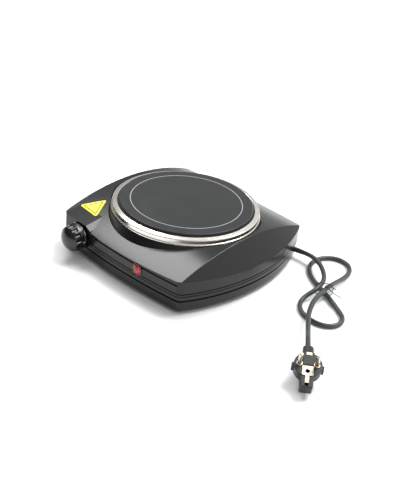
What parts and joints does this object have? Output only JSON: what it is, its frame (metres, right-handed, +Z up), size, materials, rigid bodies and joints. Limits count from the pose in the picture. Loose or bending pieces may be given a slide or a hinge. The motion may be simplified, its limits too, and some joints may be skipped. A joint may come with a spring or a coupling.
{
  "type": "hot plate burner",
  "caption": "Portable electric hot plate with a round black glass cooking plate in a steel trim ring, thermostat knob, pilot light and mains lead with plug.",
  "frame": {"origin": "on the floor under the feet, under the middle of the appliance's length and width without its lead", "axes": "+Z up, the front with the knob and the pilot light faces -Y, +X to the right seen from the front"},
  "size_m": [0.4429, 0.305, 0.075],
  "materials": {
    "body_black": "gloss",
    "stainless": "polished, brushed round",
    "black_glass": "satin gloss",
    "seal_rubber": "matte",
    "zinc_steel": "zinc plated",
    "insulation": "matte, pressed powder",
    "heating_alloy": "oxidised",
    "switch_ceramic": "matte",
    "fastener_steel": "zinc plated",
    "brass": "plain",
    "dial_black": "satin",
    "lens_red": "clear red, gloss",
    "bezel_black": "gloss",
    "lamp_glass": "clear",
    "label_yellow": "printed, laminated",
    "foot_rubber": "matte",
    "moulding_white": "matte",
    "wire_brown": "satin",
    "wire_blue": "satin",
    "wire_green": "satin",
    "cord_black": "satin",
    "tie_black": "satin",
    "plug_black": "satin",
    "plug_nickel": "nickel plated"
  },
  "bodies": {
    "housing": {"top_cover": "body_black", "base_pan": "body_black", "trim_ring": "stainless", "glass_plate": "black_glass", "glass_seal": "seal_rubber", "heater_dish": "zinc_steel", "mounting_strap": "zinc_steel", "thermostat_bracket": "zinc_steel", "pilot_clip": "zinc_steel", "insulation_dish": "insulation", "heating_ribbon": "heating_alloy", "ribbon_lead": "heating_alloy", "limiter_rod": "heating_alloy", "limiter_switch": "switch_ceramic", "thermostat": "switch_ceramic", "housing_screws": "fastener_steel", "strap_screws": "fastener_steel", "clamp_screws": "fastener_steel", "terminal_screws": "fastener_steel", "thermostat_nut": "fastener_steel", "earth_screw": "brass", "earth_tag": "brass", "dial_bezel": "dial_black", "pilot_lens": "lens_red", "pilot_bezel": "bezel_black", "pilot_lamp": "lamp_glass", "warning_label": "label_yellow", "foot_1": "foot_rubber", "foot_2": "foot_rubber", "foot_3": "foot_rubber", "foot_4": "foot_rubber", "terminal_block": "moulding_white", "cord_clamp": "moulding_white", "core_line": "wire_brown", "wire_line": "wire_brown", "wire_heater": "wire_brown", "core_neutral": "wire_blue", "wire_neutral": "wire_blue", "wire_lamp": "wire_blue", "core_earth": "wire_green", "wire_earth": "wire_green", "mains_cord": "cord_black", "cord_inside": "cord_black", "cord_bushing": "cord_black", "wire_tie": "tie_black", "plug_body": "plug_black", "plug_pins": "plug_nickel", "pin_collars": "plug_nickel", "plug_earth": "plug_nickel", "plug_clip": "plug_nickel"},
    "dial": {"knob": "dial_black", "knob_clip": "zinc_steel", "thermostat_shaft": "fastener_steel"}
  },
  "joints": [
    {"name": "knob_turn", "type": "hinge", "parent": "housing", "child": "dial", "pos_m": [-0.07, -0.125, 0.031], "axis": [0, 1, 0], "range_deg": [0, 300]}
  ]
}
